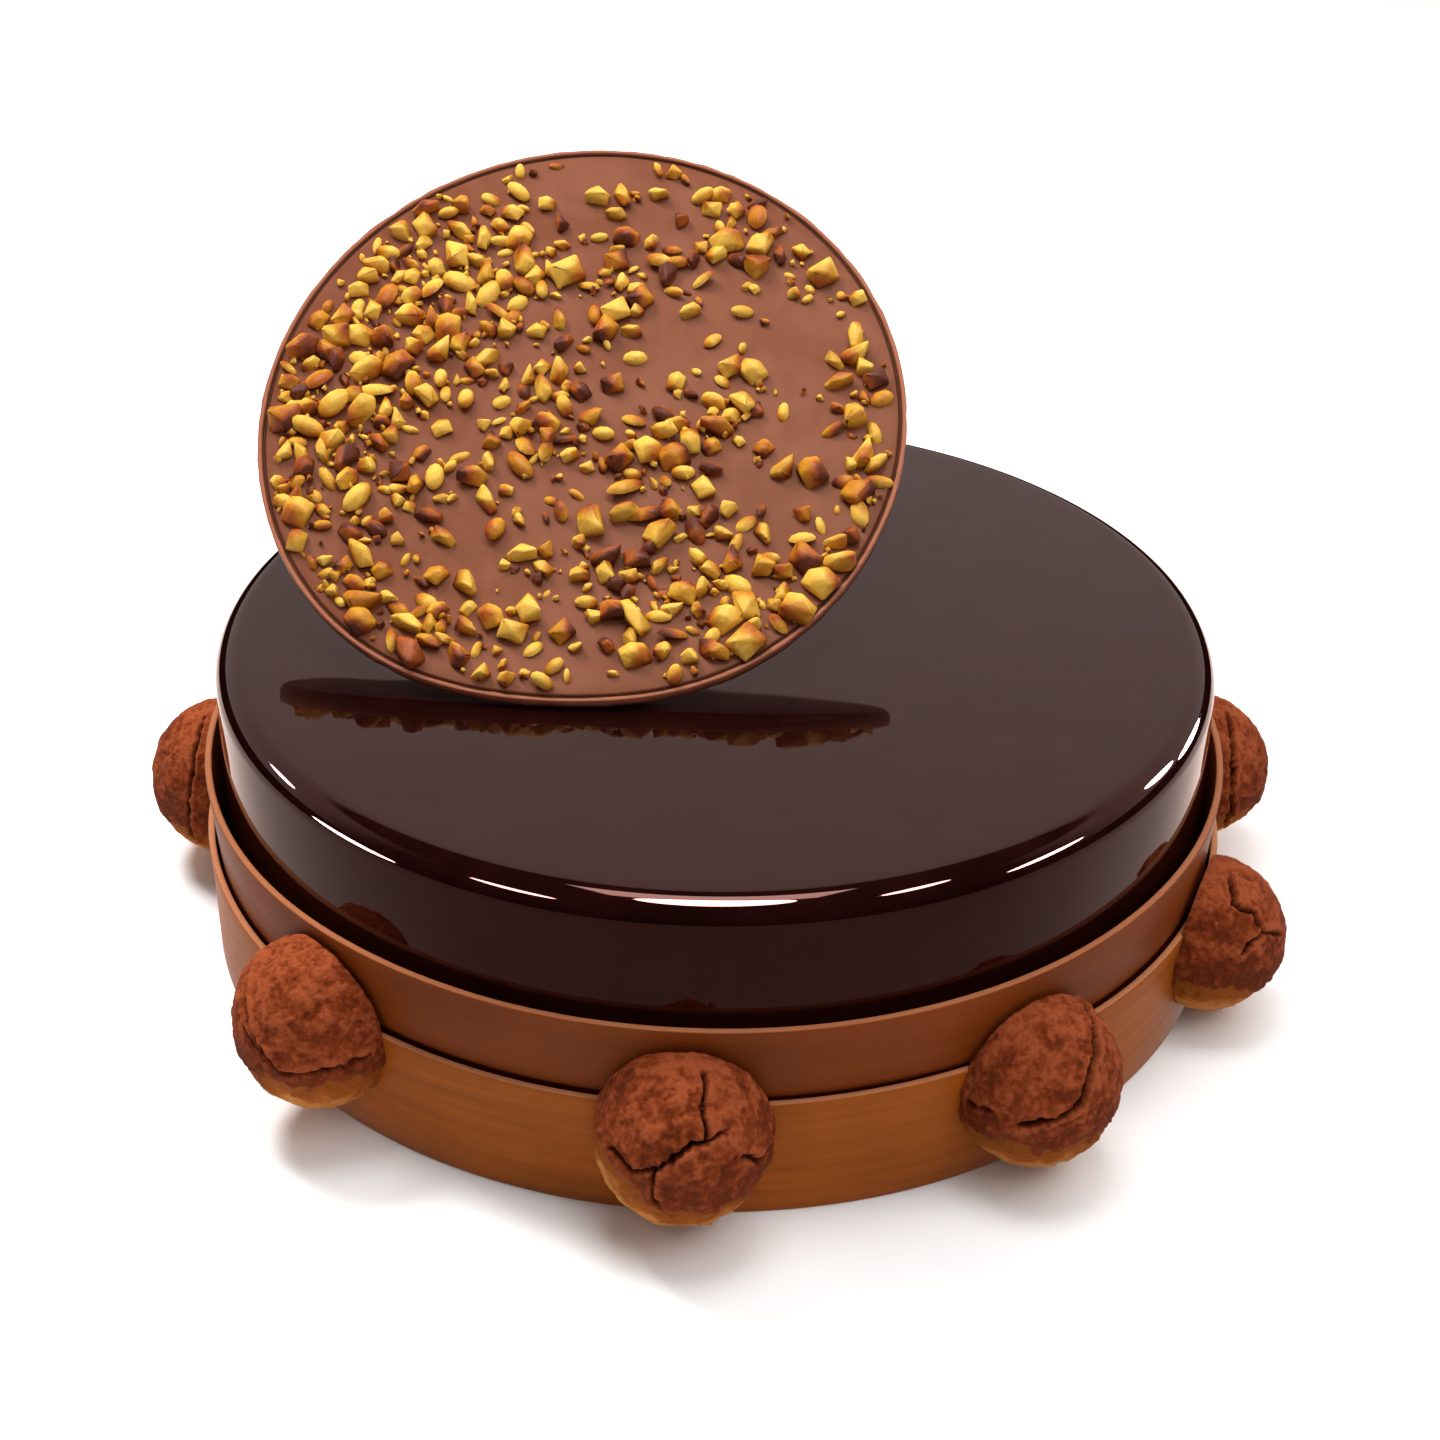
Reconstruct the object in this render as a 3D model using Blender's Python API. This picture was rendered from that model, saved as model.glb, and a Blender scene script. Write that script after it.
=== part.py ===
"""A glazed chocolate torte in two chocolate strips, with cocoa domes and a leaning disc of chopped nuts.

Metres, +Z up. The origin is the centre of the cake's underside and the front of the cake faces -Y.
"""

import math
import random

import bmesh
import bpy
from mathutils import Matrix, Vector

MM = 0.001
GAP = 0.3 * MM
TURNS = 90

CAKE_HEIGHT = 73.5 * MM
CAKE_RADIUS_TOP = 114.9 * MM
CAKE_RADIUS_LOW = 116.2 * MM
EDGE_RADIUS = 5.7 * MM

STRIP_THICKNESS = 1.6 * MM
LOW_STRIP_RADIUS = 120.0 * MM
LOW_STRIP_HEIGHT = 28.9 * MM
TALL_STRIP_HEIGHT = 47.2 * MM
TALL_STRIP_FLARE = 1.4 * MM
STRIP_EDGE = 0.5 * MM

# Each dome: its name, its turn from the front in degrees, then height of its centre, half width and
# half height in millimetres.
DOMES = (
    ("front", -2.5, 22.6, 18.5, 19.8),
    ("front_right", 33.8, 21.2, 18.2, 19.6),
    ("right", 67.4, 19.4, 18.4, 18.0),
    ("back_right", 98.8, 23.6, 18.4, 17.7),
    ("back_1", 140.0, 21.8, 18.3, 18.8),
    ("back_2", 181.5, 22.6, 18.6, 19.2),
    ("back_3", 223.0, 21.4, 18.4, 19.0),
    ("left", 264.3, 20.8, 19.0, 19.6),
    ("front_left", 317.0, 24.4, 18.6, 19.7),
)
DOME_DEPTH = 17.9 * MM
DOME_CENTRE = 121.6 * MM
DOME_LUMPS = 0.03

DISC_HALF_WIDTH = 75.4 * MM
DISC_HALF_LENGTH = 82.4 * MM
DISC_THICKNESS = 4.0 * MM
DISC_EDGE = 0.9 * MM
DISC_LEAN = 28.5
DISC_TURN = 3.4
DISC_PLACE = (-31.7 * MM, 27.4 * MM)
DISC_FLAT = 0.076
DISC_FLAT_SPREAD = 28.0

# Where the nut pieces crowd together: across, up the disc, spread, and how strongly.
CROWDS = (
    (-0.82, -0.08, 0.22, 1.0),
    (-0.60, 0.55, 0.26, 1.0),
    (-0.42, 0.22, 0.22, 0.8),
    (-0.08, -0.16, 0.24, 1.2),
    (-0.10, 0.38, 0.20, 0.7),
    (0.44, 0.76, 0.20, 0.9),
    (0.44, 0.14, 0.16, 0.9),
    (0.66, -0.42, 0.24, 1.1),
    (0.24, -0.68, 0.22, 0.7),
    (0.86, 0.10, 0.14, 0.7),
    (-0.66, -0.32, 0.18, 0.7),
)
BARE = ((0.52, -0.10, 0.20), (0.18, 0.32, 0.12), (-0.30, -0.12, 0.12), (0.78, 0.45, 0.14), (0.0, 0.88, 0.12))
CHIP_COUNT = 132
CHIP_LARGEST = 9.2 * MM
CHIP_SMALLEST = 5.2 * MM
CHIP_SEED = 24

REST_RADIUS = 21.2 * MM


def clear_scene():
    for obj in list(bpy.data.objects):
        bpy.data.objects.remove(obj, do_unlink=True)


def material(name, colour, roughness, coat=0.0):
    made = bpy.data.materials.new(name)
    made.use_nodes = True
    shader = made.node_tree.nodes["Principled BSDF"]
    shader.inputs["Base Color"].default_value = (*colour, 1.0)
    shader.inputs["Roughness"].default_value = roughness
    shader.inputs["Coat Weight"].default_value = coat
    made.diffuse_color = (*colour, 1.0)
    return made


def finish(name, mesh_data, surface, sharp_angle=40.0):
    """Makes the object of a bmesh, with its faces turned outward and its round parts shaded smooth."""
    bmesh.ops.recalc_face_normals(mesh_data, faces=mesh_data.faces)
    mesh = bpy.data.meshes.new(name)
    mesh_data.to_mesh(mesh)
    mesh_data.free()
    mesh.polygons.foreach_set("use_smooth", [True] * len(mesh.polygons))
    mesh.set_sharp_from_angle(angle=math.radians(sharp_angle))
    mesh.materials.append(surface)
    obj = bpy.data.objects.new(name, mesh)
    bpy.context.scene.collection.objects.link(obj)
    return obj


def bridge(mesh_data, first, second):
    """Joins two rings of the same length by a band of four-sided faces."""
    for here in range(len(first)):
        after = (here + 1) % len(first)
        mesh_data.faces.new((first[here], first[after], second[after], second[here]))


def corner_arc(radius, height, round_by, steps):
    """Points of a rounded outer top corner, from the side up to the top."""
    turns = (math.pi / 2 * step / steps for step in range(steps + 1))
    return [
        (radius - round_by + round_by * math.cos(a), height - round_by + round_by * math.sin(a))
        for a in turns
    ]


def turned(profile, closed):
    """A profile spun about Z: a closed one makes a ring, an open one a solid with flat ends."""
    mesh_data = bmesh.new()
    verts = [mesh_data.verts.new((radius, 0.0, height)) for radius, height in profile]
    edges = [mesh_data.edges.new(pair) for pair in zip(verts, verts[1:])]
    if closed:
        edges.append(mesh_data.edges.new((verts[-1], verts[0])))
    bmesh.ops.spin(
        mesh_data, geom=verts + edges, cent=(0, 0, 0), axis=(0, 0, 1),
        angle=math.tau, steps=TURNS, use_merge=True,
    )
    if not closed:
        bmesh.ops.holes_fill(mesh_data, edges=mesh_data.edges, sides=0)
    return mesh_data


def add_cake(surface):
    foot = 0.8 * MM
    profile = [
        (CAKE_RADIUS_LOW - foot, 0.0),
        (CAKE_RADIUS_LOW, foot),
        (CAKE_RADIUS_LOW, 0.9 * LOW_STRIP_HEIGHT),
        (CAKE_RADIUS_TOP, 0.98 * TALL_STRIP_HEIGHT),
    ]
    profile += corner_arc(CAKE_RADIUS_TOP, CAKE_HEIGHT, EDGE_RADIUS, 5)
    return finish("glazed_cake", turned(profile, closed=False), surface)


def add_low_strip(surface):
    outer, inner = LOW_STRIP_RADIUS, LOW_STRIP_RADIUS - STRIP_THICKNESS
    shoulder = LOW_STRIP_HEIGHT - STRIP_EDGE
    profile = [
        (inner, 0.0),
        (outer, 0.0),
        (outer, shoulder),
        (outer - STRIP_EDGE, LOW_STRIP_HEIGHT),
        (inner + STRIP_EDGE, LOW_STRIP_HEIGHT),
        (inner, shoulder),
    ]
    return finish("low_strip", turned(profile, closed=True), surface)


def add_tall_strip(surface):
    outer = LOW_STRIP_RADIUS - STRIP_THICKNESS - GAP
    inner = outer - STRIP_THICKNESS
    wide_outer, wide_inner = outer + TALL_STRIP_FLARE, inner + TALL_STRIP_FLARE
    shoulder = TALL_STRIP_HEIGHT - STRIP_EDGE
    profile = [
        (inner, 0.0),
        (outer, 0.0),
        (outer, LOW_STRIP_HEIGHT),
        (wide_outer, shoulder),
        (wide_outer - STRIP_EDGE, TALL_STRIP_HEIGHT),
        (wide_inner + STRIP_EDGE, TALL_STRIP_HEIGHT),
        (wide_inner, shoulder),
        (inner, LOW_STRIP_HEIGHT),
    ]
    return finish("tall_strip", turned(profile, closed=True), surface)


def lumps(rng):
    """A smooth, seeded change of size with the direction, near 1."""
    waves = [
        (Vector((rng.uniform(-1, 1), rng.uniform(-1, 1), rng.uniform(-1, 1))) * 3.2, rng.uniform(0, math.tau))
        for _ in range(4)
    ]
    return lambda way: 1.0 + DOME_LUMPS * sum(math.sin(wave.dot(way) + phase) for wave, phase in waves) / 2


def add_dome(surface, name, turn, height, half_width, half_height, around=22):
    """A round cocoa cake pressed against the low strip, so its back follows the strip.

    It is modelled at the front of the cake and then turned to its place.
    """
    size_at = lumps(random.Random(name))
    back = LOW_STRIP_RADIUS + GAP
    rim_angle = math.acos((back - DOME_CENTRE) / DOME_DEPTH)
    mesh_data = bmesh.new()

    def on_strip(across):
        return -math.sqrt(back * back - across * across)

    def front_ring(angle):
        ring = []
        for step in range(around):
            spin = math.tau * step / around
            way = Vector((math.sin(angle) * math.cos(spin), -math.cos(angle), math.sin(angle) * math.sin(spin)))
            size = size_at(way)
            outward = DOME_CENTRE - way.y * DOME_DEPTH * (size if way.y < 0 else 1.0)
            ring.append((way.x * half_width * MM * size, -outward, way.z * half_height * MM * size))
        return ring

    rim = [(across, on_strip(across), up) for across, _, up in front_ring(rim_angle)]
    half = [(0.5 * across, on_strip(0.5 * across), 0.5 * up) for across, _, up in rim]
    rings = [half, rim] + [front_ring(rim_angle * (1.0 - step / 7.0)) for step in range(1, 7)]
    points = [[mesh_data.verts.new(point) for point in ring] for ring in rings]
    for first, second in zip(points, points[1:]):
        bridge(mesh_data, first, second)
    for ring, middle in ((points[0], -back), (points[-1], -DOME_CENTRE - DOME_DEPTH)):
        centre = mesh_data.verts.new((0.0, middle, 0.0))
        for here in range(around):
            mesh_data.faces.new((ring[here], ring[(here + 1) % around], centre))
    dome = finish("dome_" + name, mesh_data, surface, 60.0)
    dome.location.z = height * MM
    dome.rotation_euler.z = math.radians(turn)
    return dome


def disc_outline(turn):
    """Half sizes of the disc at this turn, a little flat at its foot where it stands on the glaze."""
    from_foot = (math.degrees(turn) + 90.0 + 180.0) % 360.0 - 180.0
    shrink = 1.0 - DISC_FLAT * math.exp(-((from_foot / DISC_FLAT_SPREAD) ** 2))
    return (
        shrink * DISC_HALF_WIDTH * math.cos(turn),
        shrink * DISC_HALF_LENGTH * math.sin(turn),
    )


def disc_blank(around=72):
    mesh_data = bmesh.new()
    half = DISC_THICKNESS / 2
    levels = ((0.985, -half), (1.0, -half + DISC_EDGE), (1.0, half - DISC_EDGE), (0.985, half))
    rings = []
    for scale, height in levels:
        outline = (disc_outline(math.tau * step / around) for step in range(around))
        rings.append([mesh_data.verts.new((scale * x, scale * y, height)) for x, y in outline])
    for lower, upper in zip(rings, rings[1:]):
        bridge(mesh_data, lower, upper)
    mesh_data.faces.new(rings[0])
    mesh_data.faces.new(rings[-1])
    return mesh_data


def crowding(across, up):
    """How likely a nut piece is here, from 0 to 1."""
    amount = 0.16
    for x, y, spread, strength in CROWDS:
        amount += 0.6 * strength * math.exp(-((across - x) ** 2 + (up - y) ** 2) / spread**2)
    for x, y, spread in BARE:
        amount *= 1.0 - 0.95 * math.exp(-((across - x) ** 2 + (up - y) ** 2) / spread**2)
    return min(amount, 1.0)


def chip_places(rng):
    """Seeded places for the nut pieces, largest first, none on top of another."""
    places = []
    tries = 0
    while len(places) < CHIP_COUNT and tries < 60000:
        tries += 1
        across, up = rng.uniform(-0.93, 0.93), rng.uniform(-0.9, 0.93)
        if math.hypot(across, up) > 0.93 or rng.random() > crowding(across, up):
            continue
        share = len(places) / CHIP_COUNT
        size = CHIP_SMALLEST + (CHIP_LARGEST - CHIP_SMALLEST) * (1.0 - share) ** 1.8
        x, y = across * DISC_HALF_WIDTH, up * DISC_HALF_LENGTH
        if all(math.hypot(x - px, y - py) > 0.43 * (size + other) for px, py, other in places):
            places.append((x, y, size))
    return places


def add_chips(collection, surface):
    """Chopped nut pieces as solids of their own, each sunk a third into the disc."""
    rng = random.Random(CHIP_SEED)
    for number, (x, y, size) in enumerate(chip_places(rng)):
        narrow, thick = rng.uniform(0.62, 0.85), rng.uniform(0.48, 0.62)
        mesh_data = bmesh.new()
        bmesh.ops.create_icosphere(mesh_data, subdivisions=1, radius=size / 2)
        for vert in mesh_data.verts:
            vert.co *= rng.uniform(0.86, 1.14)
            vert.co = Vector((vert.co.x, vert.co.y * narrow, vert.co.z * thick))
        tilt = Matrix.Rotation(rng.uniform(-0.3, 0.3), 4, "X")
        spin = Matrix.Rotation(rng.uniform(0, math.tau), 4, "Z")
        bmesh.ops.transform(mesh_data, matrix=spin @ tilt, verts=mesh_data.verts)
        lift = DISC_THICKNESS / 2 + 0.17 * thick * size
        bmesh.ops.translate(mesh_data, vec=(x, y, lift), verts=mesh_data.verts)
        chip = finish(f"chip_{number}", mesh_data, surface)
        bpy.context.scene.collection.objects.unlink(chip)
        collection.objects.link(chip)


def fuse(obj, collection):
    """One Boolean union of the object with all of the collection, applied."""
    union = obj.modifiers.new("fuse", "BOOLEAN")
    union.operation = "UNION"
    union.operand_type = "COLLECTION"
    union.collection = collection
    union.solver = "EXACT"
    bpy.context.view_layer.update()
    graph = bpy.context.evaluated_depsgraph_get()
    fused = bpy.data.meshes.new_from_object(obj.evaluated_get(graph))
    obj.modifiers.clear()
    obj.data = fused
    for chip in list(collection.objects):
        bpy.data.objects.remove(chip, do_unlink=True)
    bpy.data.collections.remove(collection)


def disc_pose(obj):
    """Leans the disc back and stands its lowest point on the glaze."""
    lean = Matrix.Rotation(math.radians(DISC_LEAN), 4, "X")
    turn = Matrix.Rotation(math.radians(-DISC_TURN), 4, "Z")
    tilt = turn @ lean
    lowest = min((tilt @ vert.co).z for vert in obj.data.vertices)
    return Matrix.Translation((*DISC_PLACE, CAKE_HEIGHT + GAP - lowest)) @ tilt


def add_disc(chocolate, nuts):
    disc = finish("nut_disc", disc_blank(), chocolate)
    collection = bpy.data.collections.new("chips")
    bpy.context.scene.collection.children.link(collection)
    pose = disc_pose(disc)
    add_chips(collection, nuts)
    fuse(disc, collection)
    disc.matrix_world = pose
    return pose


def add_rest(surface, pose):
    """A round cocoa cake behind the disc. It rests on the glaze and meets the disc's back."""
    back_way = (pose.to_3x3() @ Vector((0.0, 0.0, -1.0))).normalized()
    back_point = pose @ Vector((0.0, 0.0, -DISC_THICKNESS / 2))
    reach = REST_RADIUS + GAP
    centre = back_point + back_way * reach
    uphill = (pose.to_3x3() @ Vector((0.0, 1.0, 0.0))).normalized()
    centre += uphill * ((CAKE_HEIGHT + reach - centre.z) / uphill.z)
    size_at = lumps(random.Random("rest"))
    mesh_data = bmesh.new()
    bmesh.ops.create_icosphere(mesh_data, subdivisions=3, radius=REST_RADIUS)
    for vert in mesh_data.verts:
        vert.co *= min(size_at(vert.co.normalized()), 1.0)
    rest = finish("hidden_rest", mesh_data, surface, 60.0)
    rest.location = centre
    return rest


def main():
    clear_scene()
    glaze = material("dark_glaze", (0.035, 0.016, 0.012), 0.06, 1.0)
    dark_strip = material("dark_strip_chocolate", (0.16, 0.045, 0.022), 0.35)
    gold_strip = material("brown_strip_chocolate", (0.22, 0.065, 0.022), 0.32)
    cocoa = material("cocoa_crust", (0.22, 0.055, 0.028), 0.9)
    milk = material("milk_chocolate", (0.26, 0.095, 0.06), 0.45)
    nuts = material("chopped_nuts", (0.75, 0.46, 0.09), 0.55)
    add_cake(glaze)
    add_tall_strip(dark_strip)
    add_low_strip(gold_strip)
    for dome in DOMES:
        add_dome(cocoa, *dome)
    pose = add_disc(milk, nuts)
    add_rest(cocoa, pose)


main()
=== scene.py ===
"""A mirror-glazed chocolate torte, dressed over its solids.

Two strips of chocolate stand round the cake, cocoa-dusted domes cling to the lower one,
and a thin chocolate disc covered in chopped roasted nuts leans on top.
"""

import math
import random
from contextlib import contextmanager

import bmesh
import bpy
import numpy as np
from bpy.props import FloatProperty, FloatVectorProperty, IntProperty, PointerProperty
from mathutils import Euler, Matrix, Vector, noise


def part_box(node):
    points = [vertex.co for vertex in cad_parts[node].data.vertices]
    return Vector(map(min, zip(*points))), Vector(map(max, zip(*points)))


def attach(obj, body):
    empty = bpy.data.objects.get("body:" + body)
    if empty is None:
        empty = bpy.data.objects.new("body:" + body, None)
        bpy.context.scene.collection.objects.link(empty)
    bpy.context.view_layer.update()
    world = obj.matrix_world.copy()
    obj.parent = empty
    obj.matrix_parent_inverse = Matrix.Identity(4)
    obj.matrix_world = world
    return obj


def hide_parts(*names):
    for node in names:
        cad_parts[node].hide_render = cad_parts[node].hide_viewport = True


bl_info = {
    "name": "Glazed chocolate torte",
    "version": (1, 0, 0),
    "blender": (4, 5, 0),
    "location": "3D View > Sidebar > Torte",
    "description": "Dresses the torte's solids: glaze, strips, cocoa domes and nut disc",
    "category": "Object",
}

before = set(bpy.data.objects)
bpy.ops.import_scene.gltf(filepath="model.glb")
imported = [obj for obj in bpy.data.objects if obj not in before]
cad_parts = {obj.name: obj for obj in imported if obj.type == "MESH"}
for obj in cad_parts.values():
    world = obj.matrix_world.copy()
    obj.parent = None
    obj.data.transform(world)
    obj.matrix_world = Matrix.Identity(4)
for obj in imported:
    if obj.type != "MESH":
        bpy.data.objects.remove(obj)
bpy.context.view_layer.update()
CAKE_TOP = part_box("glazed_cake")[1]
LOW_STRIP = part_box("low_strip")[1]
TALL_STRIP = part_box("tall_strip")[1]
DISC_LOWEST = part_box("nut_disc")[0].z
REST_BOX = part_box("hidden_rest")
MM = 0.001

RIM_WEAR = 0.0008  # how far a strip's rim is worn down at most
CRUST_ROOM = 0.0004  # room left for the crust's relief
CRUST_SEED = 5  # without one, the cracks would wander anew in every run
NUT_REACH = 0.95  # how near the rim the nuts lie, as a share
CRUMB_REACH = 0.96
NUT_SPACING = 0.42  # room between two nuts, as a share of their widths
ROASTS = (0.04, 0.08, 0.1, 0.14, 0.18, 0.24, 0.32, 0.42, 0.54, 0.78)
GLAZE_EDGE = (0.115, 0.07)  # radius and height of the glaze's rounded edge
LAMP_DISTANCE = 1.1
GLINT_POWER = 62  # watts for each square metre of a glint's lamp, over pi

# How high each layer of a dome's crust stands, in metres.
RELIEF = {
    "lumps": 0.0006, "knobs": 0.00036, "grain": 0.00024, "cap": 0.0006, "lips": 0.0005,
    "wrinkle": -0.00035, "rim": 0.0002,
}

# The domes, each as its turn from the front in degrees, then the height of its centre,
# its half width and its half height in millimetres.
DOMES = {
    "dome_front": (-2.5, 22.6, 18.5, 19.8),
    "dome_front_right": (33.8, 21.2, 18.2, 19.6),
    "dome_right": (67.4, 19.4, 18.4, 18.0),
    "dome_back_right": (98.8, 23.6, 18.4, 17.7),
    "dome_back_1": (140.0, 21.8, 18.3, 18.8),
    "dome_back_2": (181.5, 22.6, 18.6, 19.2),
    "dome_back_3": (223.0, 21.4, 18.4, 19.0),
    "dome_left": (264.3, 20.8, 19.0, 19.6),
    "dome_front_left": (317.0, 24.4, 18.6, 19.7),
}

# The courses of the cracks that open in a baked crust, as degrees across and up from the
# dome's middle. The first number says how deep a crack is.
CRACKS = {
    "dome_front": (
        (1.0, ((45, 70), (25, 55), (20, 35))),
        (1.2, ((35, 35), (10, 30), (-5, 20), (-15, 15))),
        (1.2, ((-15, 15), (-15, -5), (-10, -15))),
        (0.7, ((-15, 15), (-30, 10), (-50, 15))),
        (0.9, ((45, 15), (60, 5), (75, 5))),
    ),
    "dome_front_right": (
        (1.3, ((90, 55), (20, 45), (0, 30), (-15, 15), (-50, 5))),
        (0.8, ((-90, 5), (-70, 10))),
    ),
    "dome_right": (
        (1.1, ((-20, 75), (-50, 55), (-30, 45), (-30, 30), (-50, 20))),
        (0.7, ((-30, 30), (0, 15))),
    ),
    "dome_back_right": ((1.0, ((-40, 70), (-70, 50), (-80, 10), (-75, -30))),),
    "dome_left": ((1.3, ((60, 75), (80, 30), (75, -25))),),
    "dome_front_left": (
        (1.3, ((-60, 50), (-30, 40), (0, 20), (25, 0), (85, 5))),
        (0.8, ((-35, 25), (15, 5))),
    ),
}

# Where the cocoa ends, as degrees across and up; the underside below it is painted with warm bounce light.
BORDERS = {
    "dome_front": ((-70, 15), (-40, 5), (-10, -20), (15, -15), (70, -10)),
    "dome_right": ((-70, -5), (-40, -15), (30, -15)),
    "dome_front_left": ((-60, -15), (0, -10), (80, -10)),
}
USUAL_BORDER = ((0, -15),)

# Where the nuts lie close together: across and up as shares of the disc's half sizes, the
# reach of the heap, and how much it adds. BARE names the places that they left free.
CROWDS = (
    (-0.59, 0.35, 0.26, 1.3),
    (-0.33, 0.38, 0.15, 1.0),
    (-0.84, 0.02, 0.18, 1.3),
    (-0.66, -0.17, 0.24, 1.1),
    (-0.86, -0.38, 0.12, 0.9),
    (-0.50, 0.66, 0.18, 0.8),
    (0.10, 0.52, 0.16, 0.6),
    (0.50, 0.76, 0.15, 0.8),
    (0.77, 0.45, 0.10, 0.5),
    (0.93, 0.0, 0.12, 1.4),
    (0.92, -0.26, 0.10, 1.2),
    (0.47, 0.0, 0.14, 0.8),
    (0.28, -0.16, 0.13, 0.7),
    (-0.13, -0.08, 0.16, 0.7),
    (0.35, -0.46, 0.14, 0.6),
    (0.54, -0.68, 0.18, 1.3),
    (0.72, -0.56, 0.12, 1.1),
    (0.18, -0.62, 0.16, 0.7),
    (-0.28, -0.68, 0.14, 0.4),
    (-0.16, -0.90, 0.12, 0.8),
    (-0.48, -0.80, 0.12, 0.8),
    (-0.68, -0.66, 0.10, 0.9),
)
BARE = (
    (0.28, 0.26, 0.13),
    (0.62, 0.24, 0.14),
    (0.66, -0.08, 0.15),
    (-0.37, -0.08, 0.15),
    (0.18, 0.72, 0.10),
    (0.0, 0.88, 0.11),
    (-0.36, -0.50, 0.12),
    (0.08, 0.05, 0.10),
)

# The shapes that chopping leaves. Each has its width and height as shares of its length,
# then the cuts through it: where one passes, as a share of the half length, and its slope.
CHOPPED = {
    "block": ((0.78, 0.62), ((0.36, (1, 1, 0.7)), (0.38, (-1, 0.6, 1)), (0.44, (0.2, -1, 0.8)))),
    "wedge": ((0.80, 0.60), ((0.14, (1, 0.9, 0.4)), (0.40, (-1, -1, 0.5)), (0.40, (-0.4, 1, 1)))),
    "shard": ((0.62, 0.52), ((0.28, (1, -0.8, 0.6)), (0.30, (-1, 0.9, 0.4)), (0.40, (1, 1, 0.6)))),
    "sliver": ((0.48, 0.42), ((0.36, (1, 0.6, 0.4)), (0.36, (-1, 0.5, 0.6)), (0.34, (-1, -1, 0.3)))),
    "chunk": (
        (0.84, 0.58),
        ((0.36, (1, 1, 1)), (0.38, (-1, 1, 1)), (0.36, (1, -1, 0.8)), (0.4, (-1, -1, 1))),
    ),
    "tip": ((0.70, 0.56), ((0.10, (1, 0.5, 0.2)), (0.20, (0.7, -1, 0.3)), (0.40, (-1, 0.2, 1)))),
}
KERNELS = {
    "half_kernel": (0.62, 0.56, 0.12),
    "kernel": (0.58, 0.54, -0.25),
    "long_kernel": (0.46, 0.44, 0.05),
}

# How common each shape is among the larger nuts.
COMMON = {
    "block": 8, "chunk": 8, "wedge": 6, "half_kernel": 4, "kernel": 3, "shard": 3, "tip": 3,
    "sliver": 2, "long_kernel": 1,
}

# The soft lamps: azimuth, elevation, width and height in metres, power, and whether the
# cake mirrors them.
SOFT_LAMPS = (
    ("overhead_softbox", 0, 82, (0.5, 0.4), 6.0, True),
    ("key_softbox", -44, 51, (0.30, 0.30), 14.0, False),
    ("right_fill", 112, 60, (0.9, 0.9), 7.0, False),
    ("front_fill", 178, 42, (1.4, 0.7), 2.3, False),
    ("back_fill", 35, 40, (1.0, 0.6), 3.2, False),
)

# What glints in the glaze's rounded edge: the edge's turn, the lamp's azimuth and
# elevation as seen from there in degrees, and its width and height in metres.
GLINTS = (
    (2, 180, 79, (0.42, 0.46)),
    (21, 121, 54, (0.26, 0.14)),
    (36, 105, 20, (0.40, 0.15)),
    (56, 66, 21, (0.18, 0.24)),
    (64, 57, 8, (0.26, 0.18)),
    (-17.5, -133, 37, (0.36, 0.13)),
    (-40, -101, -4, (0.46, 0.16)),
    (-53, -69, 25, (0.18, 0.10)),
)


def colour(name, description, default):
    return FloatVectorProperty(
        name=name, description=description, subtype="COLOR", size=3, min=0, max=1, default=default
    )


def length(name, description, default):
    return FloatProperty(
        name=name, description=description, subtype="DISTANCE", unit="LENGTH", precision=5, default=default
    )


def angle(name, description, degrees):
    return FloatProperty(
        name=name, description=description, subtype="ANGLE", default=math.radians(degrees)
    )


class CakeSizes(bpy.types.PropertyGroup):
    """The glazed cake."""

    height: length("Height", "Height of the glazed cake", CAKE_TOP.z)
    foot_radius: length("Foot radius", "Radius of the cake at its foot", CAKE_TOP.x)
    shoulder_radius: length("Shoulder radius", "Radius of the cake just under its rounded edge", 0.1149)
    edge_radius: length("Edge radius", "How round the glaze's upper edge is", 0.0057)
    sides: IntProperty(name="Sides", description="Sides of the round cake", default=224, min=32)


class StripSizes(bpy.types.PropertyGroup):
    """The two chocolate strips round the cake."""

    thickness: length("Thickness", "Thickness of a strip", 0.0016)
    low_radius: length("Lower strip radius", "Outer radius of the lower strip", LOW_STRIP.x)
    low_height: length("Lower strip height", "Height of the lower strip", LOW_STRIP.z)
    tall_height: length("Taller strip height", "Height of the taller strip", TALL_STRIP.z)
    flare: length("Flare", "How far the taller strip leans out at its top", 0.0014)
    low_flare: length("Lower flare", "How far the lower strip stands off at its top", 0.0004)
    gap: length("Gap", "Gap between the strips", 0.0003)


class DomeSizes(bpy.types.PropertyGroup):
    """The cocoa-dusted domes."""

    reach: length("Centre radius", "How far a dome's centre is from the cake's", 0.1216)
    depth: length("Depth", "Half the depth of a dome", 0.0179)
    crack_depth: length("Crack depth", "How deep the crust has cracked", 0.0021)
    crack_width: length("Crack width", "Half the width of a crack", 0.0005)
    fineness: IntProperty(name="Fineness", description="Subdivisions of a dome", default=7, min=3, max=7)


class DiscSizes(bpy.types.PropertyGroup):
    """The chocolate disc."""

    half_width: length("Half width", "Half the width of the disc", 0.0754)
    half_length: length("Half length", "Half the length of the disc", 0.0824)
    thickness: length("Thickness", "Thickness of the disc", 0.004)
    lip: length("Lip", "Width of the lip round the disc", 0.0009)
    lean: angle("Lean", "How far the disc is raised from lying flat", 28.5)
    turn: angle("Turn", "How far the disc is turned on the cake", 3.4)
    across: length("Across", "The disc's place across the cake", -0.0317)
    back: length("Back", "The disc's place towards the back", 0.0259)
    flat_foot: FloatProperty(
        name="Flat foot", description="How much the disc's foot is drawn in", subtype="FACTOR",
        default=0.052,
    )


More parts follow.
